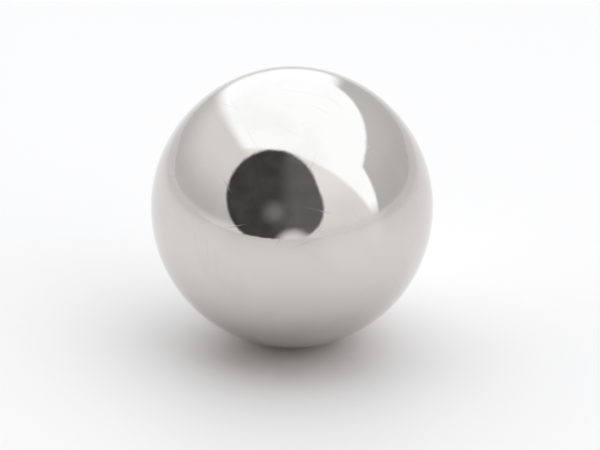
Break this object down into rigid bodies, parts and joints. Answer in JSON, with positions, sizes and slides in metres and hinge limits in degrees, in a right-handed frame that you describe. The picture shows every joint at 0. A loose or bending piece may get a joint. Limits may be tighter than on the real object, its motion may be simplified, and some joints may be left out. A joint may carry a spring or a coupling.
{
  "type": "sphere magnet",
  "caption": "Bright plated magnetic ball that clings by its poles to steel or to other such balls, for stacking, catches, clasps and small mounts.",
  "frame": {"origin": "centre of the ball", "axes": "+Z along the magnetic axis, out of the north pole; X and Y are any two square directions, because the ball's form is the same all round"},
  "size_m": [0.005, 0.005, 0.005],
  "materials": {
    "nickel_plate": "bright nickel plating, polished to a mirror with faint handling marks"
  },
  "bodies": {
    "root": {"magnet_ball": "nickel_plate"}
  },
  "joints": []
}
